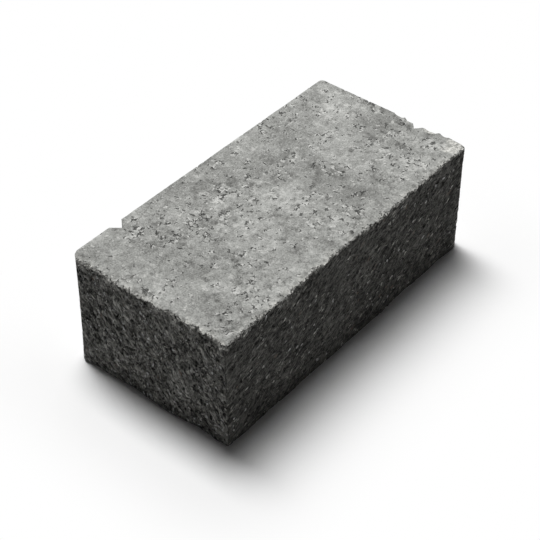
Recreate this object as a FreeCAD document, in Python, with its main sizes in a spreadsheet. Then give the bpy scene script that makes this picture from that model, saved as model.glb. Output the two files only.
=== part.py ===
import FreeCAD, Part
import math
import os

import Sketcher

# A corner wall block: one piece of dry-cast concrete for the outside corners of a dry-laid garden or
# retaining wall. It is cast in a steel mould together with its neighbours, and the cured slab is then
# broken along two lines. So two of its upright faces are plain moulded ones, at the back and at the
# right-hand end, and the other two, the long front and the left-hand end, are rough split ones.
# The mould presses a V-groove down the slab's sides at each line where it is to break, and a second
# one further along, where the block can be shortened on site. The half of the first groove that
# stays on this block is the slanted corner between a moulded face and a split one.
#
# Frame: millimetres, +Z up, origin at the middle of the underside. +X runs along the block towards
# the moulded end, and +Y across it towards the moulded back.

SIZES = (
    # name, value, what it is
    ("block_length", 450.0, "nominal length, from the furthest point of the split end to the moulded end"),
    ("block_depth", 225.0, "nominal depth, from the furthest point of the split front to the moulded back"),
    ("block_height", 150.0, "height of one course"),
    ("groove_width", 20.0, "mouth of a V-groove"),
    ("groove_depth", 11.5, "depth of a V-groove"),
    ("groove_setback", 75.0, "from the split line to the middle of the second groove"),
    ("back_corner_radius", 5.0, "mould radius of the corner between the two moulded faces"),
    ("split_allowance", 20.0, "concrete of the neighbouring block, beyond each split line"),
    ("front_relief", 6.0, "how far the hollows of the long split face lie behind its ridges"),
    ("end_relief", 5.0, "how far the hollows of the short split face lie behind its ridges"),
    ("relief_step", 25.0, "spacing of the points that a split surface is drawn through"),
)

# A split face leans a little and swells and sinks gently, because the break ran round harder
# concrete. Each wave has a length, the angle of its run above the horizontal, a phase and a share
# of the whole relief. The longest wave of each face is its lean: the front's carries it back
# towards the top right-hand corner, and the end's carries it under, towards the bottom.
FRONT_WAVES = (
    # length in mm, angle in degrees, phase in degrees, share
    (720.0, 56.0, 334.0, 0.60),
    (150.0, 49.0, 350.0, 0.25),
    (85.0, 7.0, 256.0, 0.15),
)
END_WAVES = (
    (400.0, 72.0, 237.0, 0.45),
    (110.0, 36.0, 100.0, 0.35),
    (82.0, 12.0, 332.0, 0.20),
)


def make_sheet(doc):
    """The spreadsheet of driving dimensions: one row each, with its name as the alias of its cell."""
    sheet = doc.addObject("Spreadsheet::Sheet", "Sizes")
    for row, (name, value, meaning) in enumerate(SIZES, start=1):
        sheet.set(f"A{row}", name)
        sheet.set(f"B{row}", str(value))
        sheet.set(f"C{row}", meaning)
        sheet.setAlias(f"B{row}", name)
    doc.recompute()
    return sheet


def origin_plane(body, role):
    return next(feature for feature in body.Origin.OriginFeatures if feature.Role == role)


def new_sketch(body, name):
    """An empty sketch on the body's horizontal plane, which is the underside of the block."""
    sketch = body.newObject("Sketcher::SketchObject", name)
    sketch.AttachmentSupport = (origin_plane(body, "XY_Plane"), [""])
    sketch.MapMode = "FlatFace"
    return sketch


def draw_polygon(sketch, points):
    """A closed outline through the points: line i runs from point i to the next one."""
    vectors = [FreeCAD.Vector(x, y, 0) for x, y in points]
    count = len(vectors)
    for i in range(count):
        sketch.addGeometry(Part.LineSegment(vectors[i], vectors[(i + 1) % count]), False)
    for i in range(count):
        sketch.addConstraint(Sketcher.Constraint("Coincident", i, 2, (i + 1) % count, 1))


def set_distance(sketch, name, kind, first, second, expression):
    """A named distance along one axis from first to second, each (line, end), bound to the sheet."""
    start = sketch.getPoint(*first)
    end = sketch.getPoint(*second)
    value = end.x - start.x if kind == "DistanceX" else end.y - start.y
    index = sketch.addConstraint(Sketcher.Constraint(kind, *first, *second, value))
    sketch.renameConstraint(index, name)
    sketch.setExpression(f"Constraints.{name}", expression)


SKETCH_ORIGIN = (-1, 1)


def draw_slab(body, size):
    """Outline of the cast slab: the block, and the start of its neighbours beyond both split lines."""
    right = size.block_length / 2
    back = size.block_depth / 2
    left = -right - size.split_allowance
    front = -back - size.split_allowance
    sketch = new_sketch(body, "SlabOutline")
    draw_polygon(sketch, [(left, front), (right, front), (right, back), (left, back)])
    for line in (0, 2):
        sketch.addConstraint(Sketcher.Constraint("Horizontal", line))
    for line in (1, 3):
        sketch.addConstraint(Sketcher.Constraint("Vertical", line))
    half_length, half_depth = "Sizes.block_length / 2", "Sizes.block_depth / 2"
    beyond = " + Sizes.split_allowance"
    set_distance(sketch, "left", "DistanceX", (0, 1), SKETCH_ORIGIN, half_length + beyond)
    set_distance(sketch, "right", "DistanceX", SKETCH_ORIGIN, (1, 1), half_length)
    set_distance(sketch, "front", "DistanceY", (0, 1), SKETCH_ORIGIN, half_depth + beyond)
    set_distance(sketch, "back", "DistanceY", SKETCH_ORIGIN, (2, 1), half_depth)
    return sketch


def draw_back_groove(body, size):
    """Section of the groove in the moulded back at the end's split line: mouth, then the two flanks."""
    split, back, half = -size.block_length / 2, size.block_depth / 2, size.groove_width / 2
    sketch = new_sketch(body, "BackGrooveSection")
    draw_polygon(sketch, [(split - half, back), (split, back - size.groove_depth), (split + half, back)])
    sketch.addConstraint(Sketcher.Constraint("Horizontal", 2))
    half_width = "Sizes.groove_width / 2"
    set_distance(sketch, "split_line", "DistanceX", (1, 1), SKETCH_ORIGIN, "Sizes.block_length / 2")
    set_distance(sketch, "mouth_left", "DistanceX", (0, 1), (1, 1), half_width)
    set_distance(sketch, "mouth_right", "DistanceX", (1, 1), (2, 1), half_width)
    set_distance(sketch, "face", "DistanceY", SKETCH_ORIGIN, (0, 1), "Sizes.block_depth / 2")
    set_distance(sketch, "depth", "DistanceY", (1, 1), (0, 1), "Sizes.groove_depth")
    return sketch


def draw_end_groove(body, size):
    """Section of the groove in the moulded end at the front's split line."""
    end, split, half = size.block_length / 2, -size.block_depth / 2, size.groove_width / 2
    sketch = new_sketch(body, "EndGrooveSection")
    draw_polygon(sketch, [(end, split - half), (end, split + half), (end - size.groove_depth, split)])
    sketch.addConstraint(Sketcher.Constraint("Vertical", 0))
    half_width = "Sizes.groove_width / 2"
    set_distance(sketch, "split_line", "DistanceY", (2, 1), SKETCH_ORIGIN, "Sizes.block_depth / 2")
    set_distance(sketch, "mouth_front", "DistanceY", (0, 1), (2, 1), half_width)
    set_distance(sketch, "mouth_back", "DistanceY", (2, 1), (1, 1), half_width)
    set_distance(sketch, "face", "DistanceX", SKETCH_ORIGIN, (0, 1), "Sizes.block_length / 2")
    set_distance(sketch, "depth", "DistanceX", (2, 1), (0, 1), "Sizes.groove_depth")
    return sketch


def cut_grooves(doc, body, sketch, axis):
    """Cuts the groove through the whole height, and repeats it at the setback along the sketch's axis."""
    before = body.Shape.Volume
    pocket = body.newObject("PartDesign::Pocket", sketch.Name.replace("Section", ""))
    pocket.Profile = sketch
    pocket.Type = "ThroughAll"
    pocket.Reversed = True  # the sketch is on the underside, so the cut runs upwards
    doc.recompute()
    if pocket.Shape.Volume >= before:
        raise RuntimeError(f"{pocket.Name} cut nothing")
    pattern = body.newObject("PartDesign::LinearPattern", pocket.Name + "Pair")
    pattern.Originals = [pocket]
    pattern.Direction = (sketch, [axis])
    pattern.Occurrences = 2
    pattern.setExpression("Length", "Sizes.groove_setback")
    body.Tip = pattern
    doc.recompute()
    if pattern.Shape.Volume >= pocket.Shape.Volume:
        raise RuntimeError(f"{pattern.Name} cut nothing")


def corner_edge(shape, x, y):
    """Name of the upright edge at that place in plan."""
    for number, edge in enumerate(shape.Edges, start=1):
        if all(math.hypot(vertex.X - x, vertex.Y - y) < 0.01 for vertex in edge.Vertexes):
            return f"Edge{number}"
    raise RuntimeError(f"no upright edge at {x}, {y}")


def make_slab(doc, size):
    """The cast slab with its grooves and its rounded back corner."""
    body = doc.addObject("PartDesign::Body", "CastSlab")
    outline = draw_slab(body, size)
    pad = body.newObject("PartDesign::Pad", "SlabHeight")
    pad.Profile = outline
    pad.setExpression("Length", "Sizes.block_height")
    doc.recompute()
    cut_grooves(doc, body, draw_back_groove(body, size), "H_Axis")
    cut_grooves(doc, body, draw_end_groove(body, size), "V_Axis")
    grooved = body.Tip
    fillet = body.newObject("PartDesign::Fillet", "BackCorner")
    fillet.Base = (grooved, [corner_edge(grooved.Shape, size.block_length / 2, size.block_depth / 2)])
    fillet.setExpression("Radius", "Sizes.back_corner_radius")
    body.Tip = fillet
    doc.recompute()
    return body


def wave_height(waves, along, up):
    """Sum of the waves at a place on a split face, from -1 to 1 at most."""
    total = 0.0
    for length, angle, phase, share in waves:
        run = along * math.cos(math.radians(angle)) + up * math.sin(math.radians(angle))
        total += share * math.cos(2 * math.pi * run / length + math.radians(phase))
    return total


def even_steps(start, end, step):
    """Numbers from start to end, evenly spaced by about the step."""
    count = max(3, round((end - start) / step))
    return [start + (end - start) * i / count for i in range(count + 1)]


def split_surface(waves, width, height, relief, margin, step, place):
    """A face through the waves, with its highest ridge at depth 0 and its deepest hollow at the relief.

    place(along, up, depth) gives the point of the block at that depth behind the nominal split face.
    """
    on_face = [
        wave_height(waves, along, up)
        for along in even_steps(0, width, step / 5)
        for up in even_steps(0, height, step / 5)
    ]
    ridge, hollow = max(on_face), min(on_face)
    grid = [
        [
            place(along, up, relief * (ridge - wave_height(waves, along, up)) / (ridge - hollow))
            for up in even_steps(-margin, height + margin, step)
        ]
        for along in even_steps(-margin, width + margin, step)
    ]
    surface = Part.BSplineSurface()
    surface.interpolate(grid)
    return surface.toShape()


def make_waste(doc, name, face, outwards, relief):
    """What breaks away beyond a split surface: the surface carried outwards past the end of the slab."""
    surface = doc.addObject("Part::Feature", name + "Surface")
    surface.Shape = face
    waste = doc.addObject("Part::Extrusion", name + "Waste")
    waste.Base = surface
    waste.DirMode = "Custom"
    waste.Dir = outwards
    waste.Solid = True
    waste.setExpression("LengthFwd", f"2 * Sizes.split_allowance + Sizes.{relief}")
    return waste


def split_off(doc, name, whole, waste):
    cut = doc.addObject("Part::Cut", name)
    cut.Base = whole
    cut.Tool = waste
    doc.recompute()
    if cut.Shape.Volume >= whole.Shape.Volume:
        raise RuntimeError(f"{name} cut nothing")
    return cut


def make_block(doc):
    """The finished block: the slab, split along its front and then across its left-hand end."""
    size = make_sheet(doc)
    left, front = -size.block_length / 2, -size.block_depth / 2
    slab = make_slab(doc, size)
    front_face = split_surface(
        FRONT_WAVES, size.block_length, size.block_height, size.front_relief, size.split_allowance,
        size.relief_step, lambda along, up, depth: FreeCAD.Vector(left + along, front + depth, up)
    )
    end_face = split_surface(
        END_WAVES, size.block_depth, size.block_height, size.end_relief, size.split_allowance,
        size.relief_step, lambda along, up, depth: FreeCAD.Vector(left + depth, front + along, up)
    )
    front_waste = make_waste(doc, "FrontSplit", front_face, FreeCAD.Vector(0, -1, 0), "front_relief")
    end_waste = make_waste(doc, "EndSplit", end_face, FreeCAD.Vector(-1, 0, 0), "end_relief")
    doc.recompute()
    block = split_off(doc, "SplitAlongFront", slab, front_waste)
    block = split_off(doc, "SplitAcrossEnd", block, end_waste)
    block.Label = "corner_wall_block"
    return block


def check(doc, pieces):
    """Stops before anything is written if an object failed or a piece isn't one sound solid."""
    for item in doc.Objects:
        if "Invalid" in item.State or "Error" in item.State:
            raise RuntimeError(f"{item.Name} failed: {item.State}")
    for piece in pieces:
        shape = piece.Shape
        if shape.isNull() or not shape.isValid() or len(shape.Solids) != 1:
            raise RuntimeError(f"{piece.Label} is not one valid solid")


def main():
    doc = FreeCAD.newDocument("CornerWallBlock")
    pieces = [make_block(doc)]
    doc.recompute()
    check(doc, pieces)
    os.makedirs("parts", exist_ok=True)
    for piece in pieces:
        piece.Shape.exportStep(os.path.join("parts", piece.Label + ".step"))
        box = piece.Shape.optimalBoundingBox(False, False)
        print(f"{piece.Label}: {box.XLength:.2f} x {box.YLength:.2f} x {box.ZLength:.2f} mm,")
        print(f"  {piece.Shape.Volume / 1e6:.3f} litres, {len(piece.Shape.Faces)} faces")


main()
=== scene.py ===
import math

import bpy
import numpy as np
from mathutils import Matrix, Vector


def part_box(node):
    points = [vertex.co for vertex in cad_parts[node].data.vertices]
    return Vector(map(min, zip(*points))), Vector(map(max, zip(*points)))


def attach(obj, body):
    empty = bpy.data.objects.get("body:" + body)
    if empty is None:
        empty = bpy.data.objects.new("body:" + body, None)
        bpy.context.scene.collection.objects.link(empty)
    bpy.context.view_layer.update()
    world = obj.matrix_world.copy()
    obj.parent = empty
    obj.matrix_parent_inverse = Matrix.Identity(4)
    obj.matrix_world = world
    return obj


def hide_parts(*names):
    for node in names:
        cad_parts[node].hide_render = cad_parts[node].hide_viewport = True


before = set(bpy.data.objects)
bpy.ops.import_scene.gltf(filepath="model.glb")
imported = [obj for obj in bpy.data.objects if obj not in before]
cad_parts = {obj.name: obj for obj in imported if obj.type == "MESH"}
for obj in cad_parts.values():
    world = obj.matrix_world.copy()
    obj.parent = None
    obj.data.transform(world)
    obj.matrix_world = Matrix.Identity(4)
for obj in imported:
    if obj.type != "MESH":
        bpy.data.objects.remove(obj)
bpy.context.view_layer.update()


# The block: one piece of dry-cast concrete, pressed in a steel mould and broken off its neighbours
# along the long front and the left-hand end. The back, the right-hand end and the two beds are
# moulded faces. It replaces the plain CAD solid, and lies where that lies.

MM = 0.001
RIGHT, BACK, TOP = np.array(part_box("corner_wall_block")[1]) / MM
LEFT, FRONT = -RIGHT, -BACK

# Sizes in millimetres, the same ones as the CAD solid's.
GROOVE_HALF_WIDTH = 10.0
GROOVE_DEPTH = 11.5
GROOVE_SETBACK = 75.0
BACK_CORNER_RADIUS = 5.0

# Long waves of a split face: length, angle of the run above the horizontal, phase, share.
FRONT_WAVES = ((720.0, 56.0, 334.0, 0.60), (150.0, 49.0, 350.0, 0.25), (85.0, 7.0, 256.0, 0.15))
END_WAVES = ((400.0, 72.0, 237.0, 0.45), (110.0, 36.0, 100.0, 0.35), (82.0, 12.0, 332.0, 0.20))
FRONT_RELIEF = 6.0
END_RELIEF = 5.0

# The torn surface on those waves: lump or stone size and height, and the furthest it leaves them.
BROAD_SWELLING = (30.0, 0.8)
NARROW_SWELLING = (13.0, 0.4)
LARGE_STONES = (10.0, 2.5)
SMALL_STONES = (4.0, 1.3)
FURTHEST_BEFORE = 2.5
FURTHEST_BEHIND = 4.0
# How boldly the stones stand on each split face.
FRONT_STEEPNESS = 0.6
END_STEEPNESS = 1.2
VEIN_HEIGHT = 3.0


def waves(table, along, up):
    """Sum of cosines: each has its share, and a phase that grows by a turn per length along its run."""
    total = 0.0
    for length, angle, phase, share in table:
        run = along * math.cos(math.radians(angle)) + up * math.sin(math.radians(angle))
        total = total + share * np.cos(2 * math.pi * run / length + math.radians(phase))
    return total


def split_depth(table, width, relief, along, up):
    """Depth behind the nominal face: none at the highest wave of the face, the whole relief at the lowest."""
    face = waves(table, *np.meshgrid(np.linspace(0, width, 91), np.linspace(0, TOP, 31)))
    return relief * (face.max() - waves(table, along, up)) / (face.max() - face.min())


def front_depth(x, z):
    return split_depth(FRONT_WAVES, RIGHT - LEFT, FRONT_RELIEF, x - LEFT, z)


def end_depth(y, z):
    return split_depth(END_WAVES, BACK - FRONT, END_RELIEF, y - FRONT, z)


def proud(depth):
    """Eases a depth that is near or below zero to a little above it, so nothing leaves the mould size."""
    return np.where(depth < 1, np.exp(np.minimum(depth, 1) - 1), depth)


def random_at(cells, seed):
    """A number from 0 to 1 for every whole-numbered cell, scrambled from its three indices."""
    key = (cells * np.array([73856093, 19349663, 83492791])).sum(axis=-1) + seed * 2654435761
    key = key.astype(np.uint64)
    key = (key ^ (key >> np.uint64(33))) * np.uint64(0xFF51AFD7ED558CCD)
    key = (key ^ (key >> np.uint64(33))) * np.uint64(0xC4CEB9FE1A85EC53)
    return (key >> np.uint64(40)).astype(float) / 2**24


def cloud(places, size, seed):
    """Smooth random field from -1 to 1, with lumps of about the size.

    Random numbers at the corners of a lattice of cubes, faded from one to the next by a smooth step.
    """
    grid = places / size + seed * 17.13
    cell = np.floor(grid).astype(np.int64)
    part = grid - cell
    part = part * part * part * (part * (part * 6 - 15) + 10)
    field = 0.0
    for corner in np.ndindex(2, 2, 2):
        weight = np.prod(np.where(corner, part, 1 - part), axis=-1)
        field = field + weight * (random_at(cell + np.array(corner), seed) * 2 - 1)
    return field


def stones(places, size, seed):
    """A scatter of stones, about one to each cube of the size.

    Returns the distance to the nearest one's centre, in cubes, and the height of its broken face: a
    plane through the centre with a random slope, also in cubes.
    """
    grid = places / size
    cell = np.floor(grid).astype(np.int64)
    nearest = np.full(len(places), 9.0)
    face = np.zeros(len(places))
    for step in np.ndindex(3, 3, 3):
        near = cell + np.array(step) - 1
        spot = near + np.stack([random_at(near, seed + i) for i in range(3)], axis=-1)
        slope = np.stack([random_at(near, seed + i) for i in range(3, 6)], axis=-1) * 2 - 1
        lift = random_at(near, seed + 6) - 0.5
        away = grid - spot
        distance = np.linalg.norm(away, axis=-1)
        face = np.where(distance < nearest, (away * slope).sum(axis=-1) + 0.5 * lift, face)
        nearest = np.minimum(nearest, distance)
    return nearest, face


def ramp(value, low, high):
    """0 up to low, 1 from high on, and a smooth step between."""
    t = np.clip((value - low) / (high - low), 0, 1)
    return t * t * (3 - 2 * t)


# The mesh is fine where the concrete is open or broken, on the top and the two split faces, and
# half as fine on the plain moulded walls.
COLUMNS = 300
ROWS = 150
LEVELS = 88

column = np.arange(COLUMNS + 1)
row = np.arange(ROWS + 1)


def even(value):
    return int(round(value / 2)) * 2


def mould_line(count, stops):
    """Points of a moulded side in plan, at steps 0 to count.

    Straight lines between the stops, each (step, x, y), so that every corner falls on a step.
    """
    steps, x, y = (np.array(part, float) for part in zip(*stops))
    at = np.arange(count + 1)
    return np.stack([np.interp(at, steps, x), np.interp(at, steps, y)], axis=1)


def corner_arc(angle):
    """A point of the rounded corner between the two moulded walls."""
    radius = BACK_CORNER_RADIUS
    turn = math.radians(angle)
    return RIGHT - radius + radius * math.cos(turn), BACK - radius + radius * math.sin(turn)


def back_step(x):
    return even((x - LEFT) / (RIGHT - LEFT) * COLUMNS)


def side_step(y):
    return even((y - FRONT) / (BACK - FRONT) * ROWS)


back_groove = LEFT + GROOVE_SETBACK
side_groove = FRONT + GROOVE_SETBACK
back_line = mould_line(COLUMNS, [
    (0, LEFT, BACK - GROOVE_DEPTH),
    (back_step(LEFT + GROOVE_HALF_WIDTH), LEFT + GROOVE_HALF_WIDTH, BACK),
    (back_step(back_groove - GROOVE_HALF_WIDTH), back_groove - GROOVE_HALF_WIDTH, BACK),
    (back_step(back_groove), back_groove, BACK - GROOVE_DEPTH),
    (back_step(back_groove + GROOVE_HALF_WIDTH), back_groove + GROOVE_HALF_WIDTH, BACK),
    (COLUMNS - 4, *corner_arc(90)),
    (COLUMNS - 2, *corner_arc(67)),
    (COLUMNS, *corner_arc(45)),
])
side_line = mould_line(ROWS, [
    (0, RIGHT - GROOVE_DEPTH, FRONT),
    (side_step(FRONT + GROOVE_HALF_WIDTH), RIGHT, FRONT + GROOVE_HALF_WIDTH),
    (side_step(side_groove - GROOVE_HALF_WIDTH), RIGHT, side_groove - GROOVE_HALF_WIDTH),
    (side_step(side_groove), RIGHT - GROOVE_DEPTH, side_groove),
    (side_step(side_groove + GROOVE_HALF_WIDTH), RIGHT, side_groove + GROOVE_HALF_WIDTH),
    (ROWS - 4, *corner_arc(0)),
    (ROWS - 2, *corner_arc(23)),
    (ROWS, *corner_arc(45)),
])
back_bevel = back_step(LEFT + GROOVE_HALF_WIDTH)
side_bevel = side_step(FRONT + GROOVE_HALF_WIDTH)


def torn_depth(x, y, z, steep=1.0):
    """How far the broken surface lies behind its long waves, or before them where it is negative.

    The matrix's depth, less the swellings and the stones, each of which snapped off on its own slope.
    The stones are lower near the bed, and the top arris is worn and ragged.
    """
    places = np.stack(np.broadcast_arrays(x, y, z), axis=-1)
    flat = places.reshape(-1, 3)
    size, height = BROAD_SWELLING
    swell = height * cloud(flat, size, 1)
    size, height = NARROW_SWELLING
    swell = swell + height * cloud(flat, size, 2)
    size, height = LARGE_STONES
    gap, facet = stones(flat, size, 4)
    stone = height * facet
    size, height = SMALL_STONES
    stone = stone + height * stones(flat, size, 14)[1]
    matrix = 0.2 + 0.4 * ramp(gap, 0.35, 0.8)
    near_bed = np.exp(-flat[:, 2] / 5.0)
    depth = matrix - swell - steep * (1 - 0.6 * near_bed) * stone
    worn_arris = (0.4 + 2.0 * ragged(flat)) * np.exp((flat[:, 2] - TOP) / 2.0)
    depth = np.clip(depth, -FURTHEST_BEFORE, FURTHEST_BEHIND) + worn_arris
    return depth.reshape(places.shape[:-1])


def vein(y, z):
    """A thin pale ridge that the break left on the end face, from 0 to 1.

    A bell curve across a wavering line, which runs down and back from a start near the front corner
    and dies out at both ends. Its run and its width are in millimetres.
    """
    start_back, start_down = 50, 34
    run_back, run_down = 0.43, 0.90
    half_width = 2.8
    back, down = y - FRONT - start_back, TOP - start_down - z
    along = run_back * back + run_down * down
    waver = 4.0 * np.sin(along / 7.0) + 2.0 * np.sin(along / 2.9 + 1.0)
    aside = (run_down * back - run_back * down + waver) / half_width
    return np.exp(-aside**2) * ramp(along, -4, 8) * (1 - ramp(along, 52, 72))


def ragged(places):
    """How far an arris is worn back, from 0 to 1."""
    return ramp(cloud(places, 6.0, 31) + 1.2 * cloud(places, 3.0, 32), -0.3, 1.3)


def wall_plan(z):
    """The four sides in plan at the heights z, each as (height, step, 2).

    A split side is its nominal line moved inwards by its depth. It meets the bevel part of the way
    along, so the bevel's steps are drawn up towards its outer end.
    """
    z = z[:, None]
    slope = GROOVE_DEPTH / GROOVE_HALF_WIDTH
    corner_torn = torn_depth(LEFT, FRONT, z)
    x0 = LEFT + proud(end_depth(FRONT, z) + corner_torn)
    y0 = FRONT + proud(front_depth(LEFT, z) + corner_torn)

    x = LEFT + (RIGHT - GROOVE_DEPTH / 2 - LEFT) * column / COLUMNS
    depth = proud(front_depth(x, z) + torn_depth(x, FRONT, z, FRONT_STEEPNESS))
    x1 = RIGHT - GROOVE_DEPTH + depth[:, -1:] * slope
    front = np.stack([x0 + (x1 - x0) * column / COLUMNS, FRONT + depth], axis=-1)

    y = FRONT + (BACK - GROOVE_DEPTH / 2 - FRONT) * row / ROWS
    torn = torn_depth(LEFT, y, z, END_STEEPNESS) - VEIN_HEIGHT * vein(y, z)
    depth = proud(end_depth(y, z) + torn)
    y1 = BACK - GROOVE_DEPTH + depth[:, -1:] * slope
    end = np.stack([LEFT + depth, y0 + (y1 - y0) * row / ROWS], axis=-1)

    front[:, 0] = end[:, 0] = np.concatenate([x0, y0], axis=-1)
    back = np.repeat(back_line[None], len(z), axis=0)
    pull = np.clip(1 - column / back_bevel, 0, None)
    back += pull[None, :, None] * (end[:, -1:] - back_line[0])
    side = np.repeat(side_line[None], len(z), axis=0)
    pull = np.clip(1 - row / side_bevel, 0, None)
    side += pull[None, :, None] * (front[:, -1:] - side_line[0])
    return front, end, back, side


def with_height(plan, z):
    return np.concatenate([plan, np.broadcast_to(z[:, None, None], (*plan.shape[:2], 1))], axis=-1)


fine_z = np.linspace(0, TOP, LEVELS + 1)
front, end, back, side = (with_height(plan, fine_z) for plan in wall_plan(fine_z))


def bed(front_edge, end_edge, back_edge, side_edge):
    """The top bed between its four edges.

    An even grid, moved by what each edge leaves the straight line between its ends. The move dies
    away over the first part of the way across.
    """
    u = (column / COLUMNS)[None, :, None]
    v = (row / ROWS)[:, None, None]
    corners = [front_edge[0], front_edge[-1], back_edge[0], back_edge[-1]]
    flat = (1 - v) * ((1 - u) * corners[0] + u * corners[1]) + v * ((1 - u) * corners[2] + u * corners[3])

    def off(edge, axis):
        """How far an edge leaves its chord, laid along the grid's axis."""
        t = np.linspace(0, 1, len(edge))[:, None]
        return np.expand_dims(edge - (1 - t) * edge[0] - t * edge[-1], axis)

    def fade(t, reach):
        return np.clip(1 - t / reach, 0, 1) ** 2

    flat = flat + fade(v, 0.10) * off(front_edge, 0) + fade(1 - v, 0.3) * off(back_edge, 0)
    return flat + fade(u, 0.05) * off(end_edge, 1) + fade(1 - u, 0.15) * off(side_edge, 1)


top = bed(front[-1], end[-1], back[-1], side[-1])
top[0], top[-1], top[:, 0], top[:, -1] = front[-1], back[-1], end[-1], side[-1]

# Every point has one number, so that neighbouring faces share their edges and the shell is closed.
points = []
total = 0


def number(block):
    """Files the points of a grid and returns their numbers in the same layout."""
    global total
    points.append(block.reshape(-1, 3))
    numbers = total + np.arange(block.size // 3).reshape(block.shape[:-1])
    total += numbers.size
    return numbers


top_id = number(top)
front_id = np.vstack([number(front[:-1]), top_id[0]])
end_id = np.vstack([np.hstack([front_id[:-1, :1], number(end[:-1, 1:])]), top_id[:, 0]])
# the walls behind keep every second step and level
back_id = np.empty((LEVELS // 2 + 1, COLUMNS // 2 + 1), int)
back_id[-1] = top_id[-1, ::2]
back_id[:, 0] = end_id[::2, -1]
back_id[:-1, 1:] = number(back[:-1:2, 2::2])
side_id = np.empty((LEVELS // 2 + 1, ROWS // 2 + 1), int)
side_id[-1] = top_id[::2, -1]
side_id[:, 0] = front_id[::2, -1]
side_id[:, -1] = back_id[:, -1]
side_id[:-1, 1:-1] = number(side[:-1:2, 2:-1:2])
points = np.concatenate(points)

corners = []
counts = []
finishes = []


def lay(grid, finish, outwards, beyond=None, before=None):
    """Faces over a grid of point numbers.

    beyond and before are the in-between points that a finer neighbour has along the grid's last row
    and its first column, and the faces there take them in as extra corners.
    """
    cells = np.full((grid.shape[0] - 1, grid.shape[1] - 1, 8), -1)
    cells[:, :, 0], cells[:, :, 2] = grid[:-1, :-1], grid[:-1, 1:]
    cells[:, :, 4], cells[:, :, 6] = grid[1:, 1:], grid[1:, :-1]
    if beyond is not None:
        cells[-1, :, 5] = beyond
    if before is not None:
        cells[:, 0, 7] = before
    cells = cells.reshape(-1, 8)
    if not outwards:
        cells = cells[:, ::-1]
    corners.append(cells[cells >= 0])
    counts.append((cells >= 0).sum(axis=1))
    finishes.append(np.full(len(cells), finish))


MOULDED, SPLIT = 0, 1
lay(top_id, MOULDED, True)
lay(front_id, SPLIT, True)
lay(end_id, SPLIT, False)
lay(back_id, MOULDED, False, top_id[-1, 1::2], end_id[1::2, -1])
lay(side_id, MOULDED, True, top_id[1::2, -1], front_id[1::2, -1])
underside = np.concatenate([front_id[0], side_id[0, 1:], back_id[0, -2::-1], end_id[0, -2:0:-1]])
corners.append(underside[::-1])
counts.append([len(underside)])
finishes.append([MOULDED])
corners, counts, finishes = (np.concatenate(part) for part in (corners, counts, finishes))

mesh = bpy.data.meshes.new("corner_block")
mesh.vertices.add(len(points))
mesh.vertices.foreach_set("co", (points * MM).ravel())
mesh.loops.add(len(corners))
mesh.loops.foreach_set("vertex_index", corners.astype(np.int32))
mesh.polygons.add(len(counts))
mesh.polygons.foreach_set("loop_start", (np.cumsum(counts) - counts).astype(np.int32))
mesh.polygons.foreach_set("loop_total", counts.astype(np.int32))
mesh.polygons.foreach_set("material_index", finishes.astype(np.int32))
mesh.polygons.foreach_set("use_smooth", counts < 9)
mesh.update(calc_edges=True)

normals = np.empty(len(points) * 3, np.float32)
mesh.vertices.foreach_get("normal", normals)
normals = normals.reshape(-1, 3).astype(float)


# Which kind of surface each point lies on, from the grid it was made with.
on_top = np.zeros(len(points))
on_top[top_id.ravel()] = 1
on_end = np.zeros(len(points))
on_end[end_id.ravel()] = 1
on_split = on_end.copy()
on_split[front_id.ravel()] = 1

# How far each point is from the two broken arrises.
to_front = points[:, 1] - np.interp(points[:, 0], front[-1, :, 0], front[-1, :, 1])
to_end = points[:, 0] - np.interp(points[:, 1], end[-1, :, 1], end[-1, :, 0])
below = TOP - points[:, 2]

# Top bed: nearly flat, with crooked crevices where the dry mix didn't close, thickest in loose
# clusters, and a crumbly unevenness round them.
loose = ramp(cloud(points, 48.0, 21) + 0.9 * cloud(points, 21.0, 22), -0.9, 1.1)
crease = np.abs(cloud(points, 7.0, 23) + 0.5 * cloud(points, 3.4, 24))
kept = cloud(points, 9.0, 27) + 0.7 * cloud(points, 4.3, 28)
pits = (1 - ramp(crease, 0.04, 0.20)) * ramp(kept, 0.68 - 0.26 * loose, 0.98 - 0.26 * loose)
crumble = 0.5 + 0.5 * cloud(points, 6.0, 29) + 0.3 * cloud(points, 3.2, 30)
uneven = 0.2 + 0.2 * cloud(points, 30.0, 25) + 0.15 * cloud(points, 9.0, 26)
open_bed = uneven + 1.8 * pits + (0.25 + 0.25 * loose) * crumble

# Towards the broken arrises the bed crumbles away, and the moulded edges are only a little rounded.
broken_edge = np.clip(np.minimum(to_front, to_end), 0, None)
worn_edge = (0.3 + 2.2 * ragged(points)) * np.exp(-broken_edge / 2.2)
lost_stones = np.clip(0.5 - 1.6 * stones(points, 4.5, 34)[1], 0, 3) * np.exp(-broken_edge / 3.0)
crumbs = worn_edge + lost_stones

down = np.where(on_top > 0, open_bed + crumbs, 0)
plain = (1 - on_top) * (1 - on_split)
inwards = plain * (0.15 + 0.12 * cloud(points, 12.0, 41))
moved = points - normals * inwards[:, None]
moved[:, 2] -= down


def knock_off(shape, at, facing, radius, rough, seed):
    """Breaks a shell-shaped flake away from the outside, and returns how much went.

    The scar is part of a sphere of the radius that bulges into the block and is deepest at the
    point, with its axis facing outwards. A random field roughens it.
    """
    facing = np.array(facing, float) / np.linalg.norm(facing)
    away = shape - np.array(at)
    out = away @ facing
    across = np.linalg.norm(away - out[:, None] * facing, axis=1)
    bowl = radius - np.sqrt(np.clip(radius**2 - across**2, 0, None))
    beyond = out - bowl + rough * (cloud(shape, 6.0, seed) + 0.5 * cloud(shape, 3.0, seed + 1))
    gone = np.where(across < radius, np.clip(beyond, 0, None), 0)
    shape -= gone[:, None] * facing
    return gone


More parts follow.
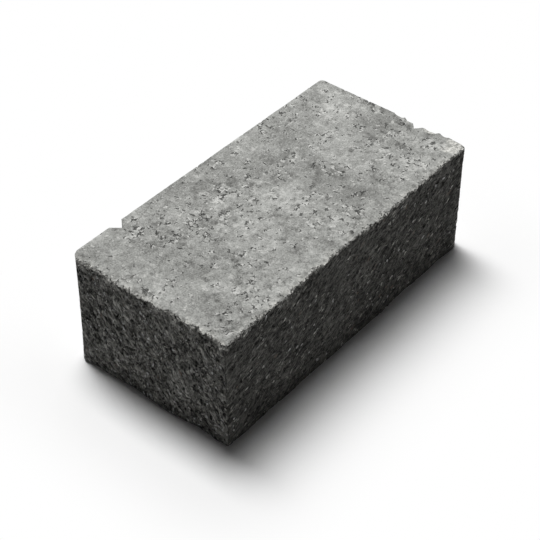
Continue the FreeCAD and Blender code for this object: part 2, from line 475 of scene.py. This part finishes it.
# Breaks along the top arrises: a wide shallow one at the right-hand front corner, small ones up the
# right-hand edge on both sides of its groove, a scar by the front corner, and one at the far left.
chips = [
    # deepest point, the way it faces, radius, roughness
    ((RIGHT - 11, FRONT + 15, TOP - 1.6), (0.02, -0.03, 1.0), 260, 0.5),
    ((RIGHT - 2, FRONT + 12, TOP - 1), (0.6, -0.2, 0.8), 40, 0.6),
    ((RIGHT - 1, FRONT + 38, TOP - 1.5), (0.6, 0.0, 0.8), 12, 0.5),
    ((RIGHT - 1, FRONT + 54, TOP - 1.5), (0.6, 0.0, 0.8), 14, 0.9),
    ((RIGHT - 3, FRONT + 64, TOP - 2), (0.4, -0.3, 0.85), 20, 0.8),
    ((RIGHT - 2, FRONT + 90, TOP - 2), (0.5, -0.2, 0.85), 22, 0.9),
    ((RIGHT - 1, FRONT + 104, TOP - 1.5), (0.6, 0.0, 0.8), 16, 0.8),
    ((LEFT + 5, FRONT + 17, TOP - 3.5), (-0.75, -0.1, 0.65), 40, 1.0),
    ((LEFT + 4, BACK - 14, TOP - 1.5), (-0.7, 0.2, 0.8), 30, 0.7),
]
chipped = np.zeros(len(points))
for index, (at, facing, radius, rough) in enumerate(chips):
    chipped = np.maximum(chipped, knock_off(moved, at, facing, radius, rough, 50 + 2 * index))

# The bevel behind the end is worn a little deeper, and its upright edge is blunt. The radius is so
# large that these breaks are nearly flat.
nearly_flat = 4000
knock_off(moved, (LEFT + 6.0, BACK - 6.6, TOP / 2), (-0.755, 0.656, 0.0), nearly_flat, 0.3, 80)
knock_off(moved, (LEFT + 11.3, BACK - 2.4, TOP / 2), (-0.41, 0.91, 0.0), nearly_flat, 0.4, 82)

moved[:, 2] = np.clip(moved[:, 2], 0, TOP)
moved[underside, 2] = 0
moved[:, 0] = np.clip(moved[:, 0], LEFT, RIGHT)
moved[:, 1] = np.clip(moved[:, 1], FRONT, BACK)
mesh.vertices.foreach_set("co", (moved * MM).ravel())


def paint(name, values):
    """Stores one number for every point, for the materials to read."""
    layer = mesh.attributes.new(name, "FLOAT", "POINT")
    layer.data.foreach_set("value", values.astype(np.float32))


# What the materials read: the crevices, the open ground round them, the loose clusters, the nearness
# of a broken arris, the end face, its ridge, and the fresh breaks.
paint("pit", pits * on_top)
paint("open", on_top * ramp(kept, 0.30 - 0.26 * loose, 0.85 - 0.26 * loose))
paint("loose", loose)
paint("rim", np.where(on_split > 0, np.exp(-below / 4.0), np.exp(-broken_edge / 4.0)))
paint("end", on_end)
paint("vein", on_end * vein(points[:, 1], points[:, 2]))
paint("chip", ramp(chipped, 0.1, 0.8))
mesh.update()

block = bpy.data.objects.new("corner_block", mesh)
bpy.context.scene.collection.objects.link(block)
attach(block, "root")
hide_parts("corner_wall_block")


def linear(code):
    """An sRGB hex colour as linear RGBA."""
    parts = [int(code[i:i + 2], 16) / 255 for i in (1, 3, 5)]
    return [part / 12.92 if part <= 0.04045 else ((part + 0.055) / 1.055) ** 2.4 for part in parts] + [1.0]


def add(tree, kind, settings=None, **links):
    """Adds a node. settings are its own properties; links fill its sockets, by name or number."""
    node = tree.nodes.new("ShaderNode" + kind)
    for name, value in (settings or {}).items():
        setattr(node, name, value)
    for name, value in links.items():
        key = int(name[1:]) if name[0] == "_" else name.replace("_", " ")
        socket = node.inputs[key]
        if isinstance(value, bpy.types.NodeSocket):
            tree.links.new(value, socket)
        else:
            socket.default_value = value
    return node


def new_material(name, roughness, specular):
    material = bpy.data.materials.new(name)
    material.use_nodes = True
    tree = material.node_tree
    shader = next(node for node in tree.nodes if node.type == "BSDF_PRINCIPLED")
    shader.inputs["Roughness"].default_value = roughness
    shader.inputs["Specular IOR Level"].default_value = specular
    return material, tree, shader


def sum_of(tree, *terms):
    """Adds up (field, weight) pairs."""
    total = None
    for value, weight in terms:
        total = add(tree, "Math", {"operation": "MULTIPLY_ADD"}, _0=value, _1=weight,
                    _2=0.0 if total is None else total).outputs[0]
    return total


def product_of(tree, first, *others):
    """Multiplies any number of fields."""
    for value in others:
        first = add(tree, "Math", {"operation": "MULTIPLY"}, _0=first, _1=value).outputs[0]
    return first


# Settings that many nodes share: a smooth step from one value to another, a random field that has a
# seed, a mix of two colours, and the larger of two numbers.
SMOOTH = {"interpolation_type": "SMOOTHSTEP"}
SEEDED = {"noise_dimensions": "4D"}
COLOURS = {"data_type": "RGBA"}
LARGER = {"operation": "MAXIMUM"}

# Moulded dry-cast concrete: pressed nearly dry in steel, so it is matt. To the eye it is a mid-grey
# cement skin, clouded where it cured unevenly and darker where it is open, with pale sand, crooked
# little crevices and a pale crumbled rim along the broken edges. The crevices and small bites out of
# the arris are darkened with painted shade, and one lip of each hair crevice is a painted highlight.
moulded, tree, shader = new_material("moulded_dry_cast_concrete", 0.92, 0.15)
places = add(tree, "TexCoord").outputs["Object"]
painted = {
    name: add(tree, "Attribute", {"attribute_name": name}).outputs["Fac"]
    for name in ("open", "loose", "pit", "rim", "chip")
}
clouds, mottle, sand, dust, lime, wander, gaps, nibble = (
    add(tree, "TexNoise", SEEDED, Vector=places, W=seed, Scale=1000 / size, Detail=detail,
        Roughness=rough).outputs["Fac"]
    for seed, size, detail, rough in (
        # seed, size of the lumps in millimetres, detail, roughness
        (1, 60.0, 3, 0.6),
        (2, 15.0, 3, 0.6),
        (3, 4.0, 2, 0.6),
        (4, 1.7, 1, 0.5),
        (5, 10.0, 5, 0.75),
        (6, 7.0, 4, 0.6),
        (7, 7.0, 2, 0.6),
        (8, 2.4, 1, 0.5),
    )
)
tone = sum_of(tree, (clouds, 0.50), (mottle, 0.34), (sand, 0.42), (dust, 0.60), (painted["open"], -0.09))
tone = add(tree, "MapRange", SMOOTH, Value=tone, From_Min=0.63, From_Max=1.25).outputs[0]
skin = add(tree, "Mix", COLOURS, _0=tone, _6=linear("#747471"), _7=linear("#c3c4c0")).outputs[2]
# pale bloom of lime in soft patches
bloom = sum_of(tree, (lime, 0.7), (clouds, 0.3))
bloom = add(tree, "MapRange", SMOOTH, Value=bloom, From_Min=0.53, From_Max=0.60, To_Max=0.46).outputs[0]
# crooked hair crevices along the level line of a field, each with a painted highlight: a pale lip on one side
line = add(tree, "Math", {"operation": "SUBTRACT"}, _0=wander, _1=0.5).outputs[0]
off_line = add(tree, "Math", {"operation": "ABSOLUTE"}, _0=line).outputs[0]
kept_parts = sum_of(tree, (gaps, 0.7), (mottle, 0.3), (painted["loose"], 0.05))
rise = add(tree, "MapRange", SMOOTH, Value=line, From_Min=0.02, From_Max=0.05)
fall = add(tree, "MapRange", SMOOTH, Value=line, From_Min=0.10, From_Max=0.15, To_Min=1.0, To_Max=0.0)
part = add(tree, "MapRange", SMOOTH, Value=kept_parts, From_Min=0.55, From_Max=0.61, To_Max=0.7)
lip_painted_highlight = product_of(tree, rise.outputs[0], fall.outputs[0], part.outputs[0])
near = add(tree, "MapRange", SMOOTH, Value=off_line, From_Min=0.010, From_Max=0.050, To_Min=1.0, To_Max=0.0)
part = add(tree, "MapRange", SMOOTH, Value=kept_parts, From_Min=0.57, From_Max=0.63)
small_pit = product_of(tree, near.outputs[0], part.outputs[0])
# painted shade in the crevices: those that the mesh has are coloured dark where they are deep, and the hair
# crevices too
depth = add(tree, "MapRange", SMOOTH, Value=sand, From_Min=0.35, From_Max=0.65, To_Min=0.2, To_Max=0.9)
deep_pit_painted_shade = product_of(tree, painted["pit"], depth.outputs[0])
crevice_painted_shade = add(tree, "Math", LARGER, _0=deep_pit_painted_shade, _1=small_pit).outputs[0]
# fresh pale concrete where it broke, with painted shade in dark bites out of the arris
rim = add(tree, "MapRange", SMOOTH, Value=mottle, From_Min=0.40, From_Max=0.60).outputs[0]
rim = product_of(tree, painted["rim"], rim)
bare = add(tree, "Math", LARGER, _0=painted["chip"], _1=rim).outputs[0]
fresh = add(tree, "MapRange", SMOOTH, Value=sand, From_Min=0.35, From_Max=0.65).outputs[0]
fresh = add(tree, "Mix", COLOURS, _0=fresh, _6=linear("#a2a29d"), _7=linear("#e6e5df")).outputs[2]
arris_bite_painted_shade = sum_of(tree, (painted["rim"], 0.50), (nibble, 1.0))
arris_bite_painted_shade = add(tree, "MapRange", SMOOTH, Value=arris_bite_painted_shade, From_Min=0.86, From_Max=0.96).outputs[0]
# how much of each shows, and its colour, from the lowest up
for share, colour in (
    (bloom, linear("#dededa")),
    # painted highlight on one lip of each hair crevice
    (lip_painted_highlight, linear("#dededa")),
    # painted shade in the crevices
    (product_of(tree, crevice_painted_shade, 0.85), linear("#484846")),
    (bare, fresh),
    # painted shade in the small bites out of the arris
    (arris_bite_painted_shade, linear("#4a4a48")),
):
    skin = add(tree, "Mix", COLOURS, _0=share, _6=skin, _7=colour).outputs[2]
tree.links.new(skin, shader.inputs["Base Color"])
height = sum_of(tree, (small_pit, -1.3), (sand, 0.8), (dust, 0.45))
bump = add(tree, "Bump", Strength=1.0, Distance=0.0012, Height=height)
tree.links.new(bump.outputs[0], shader.inputs["Normal"])
mesh.materials.append(moulded)

# Split dry-cast concrete: the same mix, pigmented charcoal inside and broken by a blade, which drew
# it out along the way the break ran. To the eye it is coarse, matt and dark, with thin strands, pale
# grains of quartz and a few reddish ones. The raised strands are pale with painted highlight and the
# sunk ones dark with painted shade, and the end is painted lighter and with more contrast than the
# long face. Its grit is finer than a render shows, so it is drawn at 1.2 mm.
split, tree, shader = new_material("split_dry_cast_concrete", 0.88, 0.1)
places = add(tree, "TexCoord").outputs["Object"]
painted = {
    name: add(tree, "Attribute", {"attribute_name": name}).outputs["Fac"]
    for name in ("end", "rim", "chip", "vein")
}
FRONT_RUN, END_RUN = (0.86, 0.0, 0.50), (0.0, 0.66, 0.75)
run = add(tree, "Mix", {"data_type": "VECTOR"}, _0=painted["end"], _4=FRONT_RUN, _5=END_RUN).outputs[1]
along = add(tree, "VectorMath", {"operation": "DOT_PRODUCT"}, _0=places, _1=run).outputs["Value"]


def drawn_out(share):
    """Object coordinates with a share of their part along the break's run taken away."""
    back = product_of(tree, along, -share)
    back = add(tree, "VectorMath", {"operation": "SCALE"}, _0=run, Scale=back).outputs[0]
    return add(tree, "VectorMath", {"operation": "ADD"}, _0=places, _1=back).outputs[0]


drawn = drawn_out(0.74)
patches, matrix, grit, crumb = (
    add(tree, "TexNoise", SEEDED, Vector=where, W=seed, Scale=1000 / size, Detail=detail,
        Roughness=rough).outputs["Fac"]
    for where, seed, size, detail, rough in (
        # coordinates, seed, size of the lumps in millimetres, detail, roughness
        (places, 11, 40.0, 3, 0.6),
        (drawn, 12, 2.6, 3, 0.7),
        (drawn, 13, 1.2, 2, 0.6),
        (places, 14, 3.4, 1, 0.5),
    )
)
waver = add(tree, "TexNoise", Vector=places, Scale=1000 / 5.0, Detail=1.0).outputs["Color"]
crooked = add(tree, "VectorMath", {"operation": "MULTIPLY_ADD"}, _0=waver, _1=(0.002, 0.002, 0.002),
              _2=drawn).outputs[0]


def broken_stones(where, size, seed):
    """Voronoi cells about the size in millimetres, and the heights of their sloped faces."""
    shifted = add(tree, "VectorMath", {"operation": "ADD"}, _0=where, _1=(seed, seed, seed)).outputs[0]
    cells = add(tree, "TexVoronoi", {"feature": "F1"}, Vector=shifted, Scale=1000 / size)
    away = add(tree, "VectorMath", {"operation": "SUBTRACT"}, _0=shifted,
               _1=cells.outputs["Position"]).outputs[0]
    slope = add(tree, "VectorMath", {"operation": "SUBTRACT"}, _0=cells.outputs["Color"],
                _1=(0.5, 0.5, 0.5)).outputs[0]
    face = add(tree, "VectorMath", {"operation": "DOT_PRODUCT"}, _0=away, _1=slope).outputs["Value"]
    return cells, face


cells, face = broken_stones(crooked, 3.2, 0.0)
small_cells, small_face = broken_stones(crooked, 1.8, 0.3)
quartz_cells = broken_stones(drawn_out(0.37), 2.4, 0.6)[0]
picked, small_picked, quartz_picked = (
    add(tree, "SeparateColor", Color=kind.outputs["Color"]).outputs
    for kind in (cells, small_cells, quartz_cells)
)
# the end's term makes its tone lighter: painted light on one face of the same concrete
tone = sum_of(tree, (patches, 0.30), (matrix, 0.35), (grit, 0.45), (picked[0], 0.12),
              (small_picked[1], 0.20), (painted["end"], 0.11))


def by_face(front, end):
    """One number on the long split face and another on the end."""
    return add(tree, "MapRange", SMOOTH, Value=painted["end"], To_Min=front, To_Max=end).outputs[0]


# painted light: the end is coloured lighter and with more contrast than the long face, though both are the
# same concrete
tone = add(tree, "MapRange", SMOOTH, Value=tone, From_Min=by_face(0.48, 0.66),
           From_Max=by_face(1.16, 1.04)).outputs[0]
lightest = add(tree, "Mix", COLOURS, _0=painted["end"], _6=linear("#b6b5af"), _7=linear("#dddcd6"))
stone = add(tree, "Mix", COLOURS, _0=tone, _6=linear("#242423"), _7=lightest.outputs[2]).outputs[2]


def strands(seed):
    """Thin crooked lines drawn out along the break's run, broken up here and there.

    They are the level line of one field, kept where another field is high.
    """
    line, kept_parts = (
        add(tree, "TexNoise", SEEDED, Vector=where, W=seed + more, Scale=1000 / size, Detail=detail,
            Roughness=0.6).outputs["Fac"]
        for where, more, size, detail in ((drawn, 0, 4.5, 3), (places, 0.5, 8.0, 2))
    )
    line = add(tree, "Math", {"operation": "SUBTRACT"}, _0=line, _1=0.5).outputs[0]
    line = add(tree, "Math", {"operation": "ABSOLUTE"}, _0=line).outputs[0]
    near = add(tree, "MapRange", SMOOTH, Value=line, From_Min=0.008, From_Max=0.045, To_Min=1.0, To_Max=0.0)
    part = add(tree, "MapRange", SMOOTH, Value=kept_parts, From_Min=0.46, From_Max=0.56)
    return product_of(tree, near.outputs[0], part.outputs[0])


# the raised strands carry a painted highlight and the sunk ones painted shade, besides their ridges and
# grooves in the bump
raised_strands_painted_highlight, sunk_strands_painted_shade = strands(15.0), strands(16.0)


def grains(cells, random, shares, reach, darkest, lightest, shade):
    """Pale grains: a share of the stones, picked by one of their random numbers.

    Returns 1 on a grain and 0 beside it, and the grain's colour. The shares are those of the long face
    and of the end. The reach is a grain's radius, in cells. The shade, another of their random numbers,
    runs from the darkest colour to the lightest.
    """
    body = add(tree, "MapRange", SMOOTH, Value=cells.outputs["Distance"], From_Min=reach * 0.75,
               From_Max=reach, To_Min=1.0, To_Max=0.0).outputs[0]
    rest = by_face(1 - shares[0], 1 - shares[1])
    chosen = add(tree, "Math", {"operation": "GREATER_THAN"}, _0=random, _1=rest).outputs[0]
    colour = add(tree, "Mix", COLOURS, _0=shade, _6=linear(darkest), _7=linear(lightest)).outputs[2]
    return product_of(tree, body, chosen), colour


sand = grains(small_cells, small_picked[0], (0.06, 0.16), 0.52, "#8d8c85", "#f2f1ea", small_picked[2])
pebbles = grains(cells, picked[1], (0.03, 0.07), 0.34, "#8f8f88", "#f2f1ea", picked[2])
reddish = grains(cells, picked[2], (0.02, 0.02), 0.40, "#877b72", "#877b72", picked[2])
quartz = grains(quartz_cells, quartz_picked[0], (0.010, 0.085), 0.80, "#c8c7c0", "#ffffff", quartz_picked[1])

# paler crumbled concrete along the top arris, on the fresh breaks and on the ridge of the end
rim = sum_of(tree, (painted["rim"], 0.50), (crumb, 1.0))
rim = add(tree, "MapRange", SMOOTH, Value=rim, From_Min=0.76, From_Max=0.88).outputs[0]
chip = add(tree, "MapRange", SMOOTH, Value=crumb, From_Min=0.35, From_Max=0.55).outputs[0]
chip = product_of(tree, painted["chip"], chip)
ridge = product_of(tree, painted["vein"], 0.9)
bare = add(tree, "Math", LARGER, _0=chip, _1=ridge).outputs[0]
bare = add(tree, "Math", LARGER, _0=bare, _1=rim).outputs[0]
fresh = add(tree, "MapRange", SMOOTH, Value=grit, From_Min=0.4, From_Max=0.6).outputs[0]
fresh = add(tree, "Mix", COLOURS, _0=fresh, _6=linear("#7c7c78"), _7=linear("#dbdad4")).outputs[2]
# how much of each shows, and its colour, from the lowest up
for share, colour in (
    # painted shade in the sunk strands, then painted highlight on the raised ones, stronger on the end
    (product_of(tree, sunk_strands_painted_shade, 0.75), linear("#161615")),
    (product_of(tree, raised_strands_painted_highlight, by_face(0.28, 0.55)), linear("#d2d1cb")),
    sand,
    pebbles,
    reddish,
    quartz,
    (bare, fresh),
):
    stone = add(tree, "Mix", COLOURS, _0=share, _6=stone, _7=colour).outputs[2]
tree.links.new(stone, shader.inputs["Base Color"])
height = sum_of(tree, (matrix, 0.5), (grit, 0.5), (face, 800.0), (small_face, 1000.0), (raised_strands_painted_highlight, 0.35),
                (sunk_strands_painted_shade, -0.45), (quartz[0], 1.2))
height = product_of(tree, height, by_face(0.6, 1.8))
bump = add(tree, "Bump", Strength=1.0, Distance=0.0020, Height=height)
tree.links.new(bump.outputs[0], shader.inputs["Normal"])
mesh.materials.append(split)


# The floor: a plain white sheet of paper, larger than any view. It is white to the eye away from the
# block, and near the block it takes its brightness from the light that reaches it.
floor_mesh = bpy.data.meshes.new("floor")
half = 30.0
floor_mesh.from_pydata([(-half, -half, 0), (half, -half, 0), (half, half, 0), (-half, half, 0)], [],
                       [(0, 1, 2, 3)])
floor = bpy.data.objects.new("floor", floor_mesh)
bpy.context.scene.collection.objects.link(floor)
paper = bpy.data.materials.new("white_paper")
paper.use_nodes = True
tree = paper.node_tree
tree.nodes.clear()


def to_the_eye(tree):
    """1 for rays from the camera, straight, mirrored or through glass, and 0 for those that light."""
    path = add(tree, "LightPath").outputs
    ray = add(tree, "Math", LARGER, _0=path["Is Camera Ray"], _1=path["Is Transmission Ray"]).outputs[0]
    return add(tree, "Math", LARGER, _0=ray, _1=path["Is Glossy Ray"]).outputs[0]


eye_ray = to_the_eye(tree)
# distance from the block's outline: its own shadow shows near it, and further out the sheet is white
outline = add(tree, "VectorMath", {"operation": "ABSOLUTE"}, _0=add(tree, "TexCoord").outputs["Object"])
outline = add(tree, "VectorMath", {"operation": "SUBTRACT"}, _0=outline.outputs[0],
              _1=(RIGHT * MM, BACK * MM, 0))
outline = add(tree, "VectorMath", {"operation": "MAXIMUM"}, _0=outline.outputs[0], _1=(0, 0, 0))
distance = add(tree, "VectorMath", {"operation": "LENGTH"}, _0=outline.outputs[0]).outputs["Value"]
clear = add(tree, "MapRange", SMOOTH, Value=distance, From_Min=0.02, From_Max=0.17).outputs[0]
seen = product_of(tree, eye_ray, clear)
sheet = add(tree, "Mix", COLOURS, _0=eye_ray, _6=linear("#cfcfcf"), _7=linear("#ffffff")).outputs[2]
sheet = add(tree, "BsdfDiffuse", Color=sheet).outputs[0]
glow = add(tree, "Emission", Color=linear("#ffffff"), Strength=1.0).outputs[0]
surface = add(tree, "MixShader", _0=seen, _1=sheet, _2=glow).outputs[0]
tree.links.new(surface, add(tree, "OutputMaterial").inputs["Surface"])
floor_mesh.materials.append(paper)


# Light: one broad soft lamp high above, behind the block and to its right, and a weak even sky.
scene = bpy.context.scene
scene.view_settings.view_transform = "Standard"
world = bpy.data.worlds.new("sky")
scene.world = world
world.use_nodes = True
tree = world.node_tree
tree.nodes.clear()
strength = add(tree, "MapRange", Value=to_the_eye(tree), To_Min=0.04, To_Max=1.0).outputs[0]
background = add(tree, "Background", Color=linear("#ffffff"), Strength=strength).outputs[0]
tree.links.new(background, add(tree, "OutputWorld").inputs["Surface"])

lamp = bpy.data.lights.new("key", "AREA")
lamp.shape = "ELLIPSE"
lamp_height = 10.0
lamp.size, lamp.size_y = 0.40 * lamp_height, 0.84 * lamp_height
lamp.energy = 1260.0
key = bpy.data.objects.new("key", lamp)
scene.collection.objects.link(key)
key.location = (0.165 * lamp_height, 0.43 * lamp_height, lamp_height)

# A small near lamp behind the far corner brightens that end of the block.
lamp = bpy.data.lights.new("near", "AREA")
lamp.shape = "DISK"
lamp.size = 0.4
lamp.energy = 1.0
near_lamp = bpy.data.objects.new("near", lamp)
scene.collection.objects.link(near_lamp)
near_lamp.location = (0.35, 0.45, 0.75)


# Camera: a long lens, looking down on the corner between the two split faces.
camera_data = bpy.data.cameras.new("camera")
camera_data.sensor_width = 36.0
camera_data.lens = 103.55
camera_data.clip_end = 100.0
camera = bpy.data.objects.new("camera", camera_data)
scene.collection.objects.link(camera)
camera.location = (-1.0901, -0.86037, 1.24202)
look = Vector((0.59159, 0.47271, -0.65312)).normalized()
camera_roll = math.radians(0.894)
camera.matrix_world = (
    Matrix.Translation(camera.location)
    @ look.to_track_quat("-Z", "Y").to_matrix().to_4x4()
    @ Matrix.Rotation(camera_roll, 4, "Z")
)
scene.camera = camera
